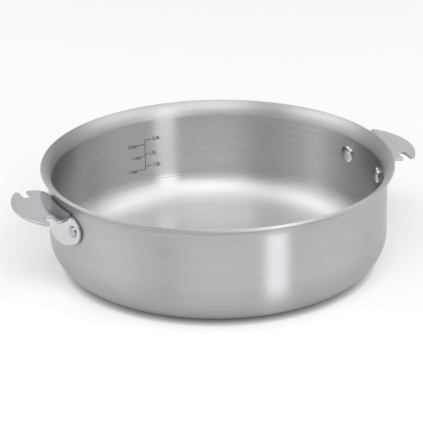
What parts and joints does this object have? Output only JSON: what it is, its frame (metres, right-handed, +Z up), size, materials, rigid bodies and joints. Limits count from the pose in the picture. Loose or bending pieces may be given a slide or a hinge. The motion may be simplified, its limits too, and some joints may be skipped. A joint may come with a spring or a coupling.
{
  "type": "saute pan",
  "caption": "Straight-sided clad steel saute pan with a flared pouring lip and slotted side ears, riveted on, that take a clip-on handle",
  "frame": {"origin": "Centre of the pan's base, on the surface that it stands on", "axes": "+Z points up out of the pan; X runs through the middles of the two ears; Y runs across them"},
  "size_m": [0.2996, 0.247, 0.075],
  "materials": {
    "satin_steel": "brushed round the pan",
    "core_aluminium": "rolled, hidden between the steel layers",
    "polished_steel": "polished"
  },
  "bodies": {
    "root": {"outer_shell": "satin_steel", "aluminium_core": "core_aluminium", "inner_liner": "satin_steel", "ear_bracket_left": "polished_steel", "ear_bracket_right": "polished_steel", "rivet_left_front": "polished_steel", "rivet_left_rear": "polished_steel", "rivet_right_front": "polished_steel", "rivet_right_rear": "polished_steel"}
  },
  "joints": []
}
